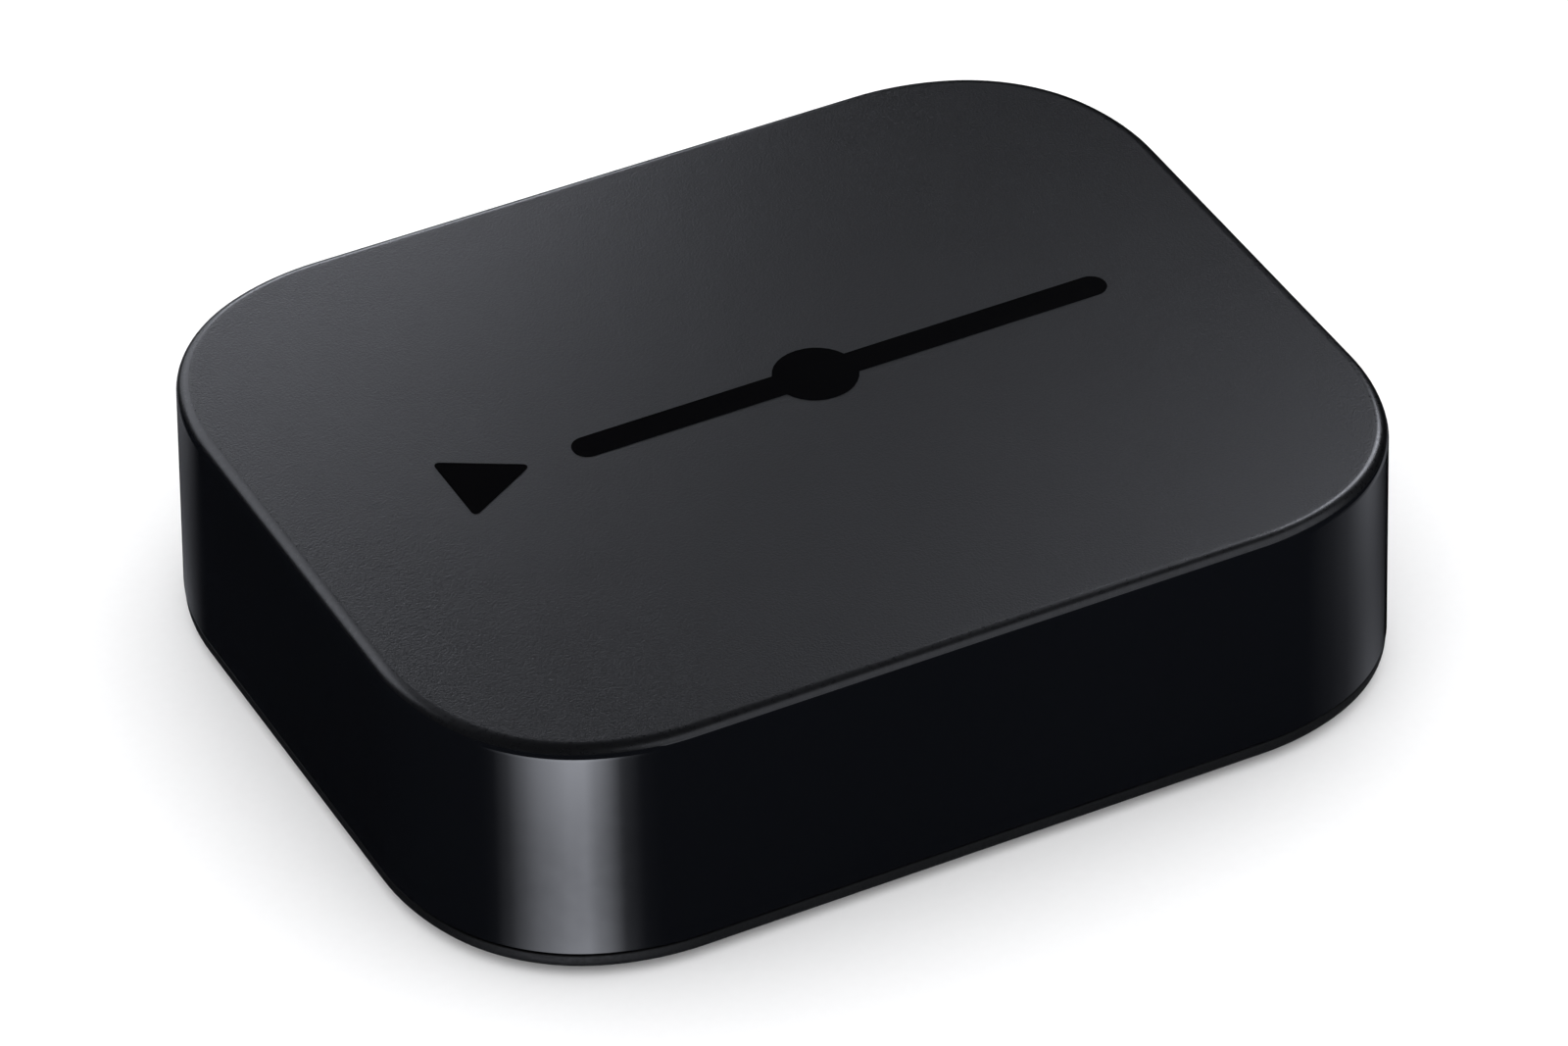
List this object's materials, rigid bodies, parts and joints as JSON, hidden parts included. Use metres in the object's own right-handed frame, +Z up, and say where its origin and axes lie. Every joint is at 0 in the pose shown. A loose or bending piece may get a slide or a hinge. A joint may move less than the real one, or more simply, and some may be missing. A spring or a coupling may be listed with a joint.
{
  "type": "streaming media player",
  "caption": "Small rounded black streaming box with a textured top, gloss side wall, rear audio-video and power sockets, a pressable reset button and its board, heat sink and radio inside.",
  "frame": {"origin": "under the middle of the box, on the surface that its feet stand on", "axes": "+X along the length, -Y to the front, +Y to the rear wall with the sockets, +Z up"},
  "size_m": [0.0626, 0.0504, 0.016],
  "materials": {
    "textured_black_shell": "injection moulded ABS/PC, gloss side wall, fine textured top",
    "matte_black_cover": "injection moulded ABS/PC, matte texture",
    "gloss_ink": "printed gloss black ink",
    "foot_rubber": "moulded silicone rubber, satin",
    "zinc_steel": "zinc plated steel",
    "label_film": "matte polyester film, blank",
    "circuit_board": "glass fibre laminate with dark green solder mask",
    "chip_epoxy": "moulded epoxy, satin",
    "tinned_steel": "tin plated sheet steel",
    "ceramic": "fired ceramic and tantalum bodies",
    "thermal_silicone": "soft filled silicone pad",
    "aluminium": "extruded, matte",
    "nickel_steel": "nickel plated stamped steel",
    "black_nylon": "glass filled nylon",
    "gold_contact": "gold plated bronze",
    "clear_acrylic": "clear moulded acrylic",
    "led_resin": "phosphor resin",
    "button_plastic": "moulded gloss black ABS",
    "antenna_film": "polyimide film with copper",
    "lead_jacket": "fluoropolymer coaxial jacket"
  },
  "bodies": {
    "case": {"top_case": "textured_black_shell", "bottom_cover": "matte_black_cover", "emblem": "gloss_ink", "foot_front_left": "foot_rubber", "foot_front_right": "foot_rubber", "foot_rear_left": "foot_rubber", "foot_rear_right": "foot_rubber", "case_screws": "zinc_steel", "heat_sink_screws": "zinc_steel", "board_standoffs": "zinc_steel", "rating_label": "label_film", "main_board": "circuit_board", "radio_board": "circuit_board", "processor_chip": "chip_epoxy", "memory_chip": "chip_epoxy", "flash_chip": "chip_epoxy", "power_chip": "chip_epoxy", "inductors": "chip_epoxy", "shield_frame": "tinned_steel", "shield_cover": "tinned_steel", "radio_cover": "tinned_steel", "crystal": "tinned_steel", "switch_cover": "tinned_steel", "chip_capacitors": "ceramic", "bulk_capacitors": "ceramic", "thermal_pad_lower": "thermal_silicone", "thermal_pad_upper": "thermal_silicone", "heat_sink": "aluminium", "av_socket_shell": "nickel_steel", "power_socket_shell": "nickel_steel", "av_socket_insert": "black_nylon", "power_socket_insert": "black_nylon", "switch_housing": "black_nylon", "av_socket_contacts": "gold_contact", "power_socket_contacts": "gold_contact", "antenna_connectors": "gold_contact", "switch_dome": "gold_contact", "light_pipe": "clear_acrylic", "status_led": "led_resin", "antenna_left": "antenna_film", "antenna_right": "antenna_film", "antenna_lead_left": "lead_jacket", "antenna_lead_right": "lead_jacket"},
    "button": {"reset_button": "button_plastic", "switch_plunger": "black_nylon"}
  },
  "joints": [
    {"name": "reset_press", "type": "slide", "parent": "case", "child": "button", "axis": [0, -1, 0], "range_m": [0, 0.00025], "stiffness_N_per_m": 800, "deforming": ["switch_dome"]}
  ]
}
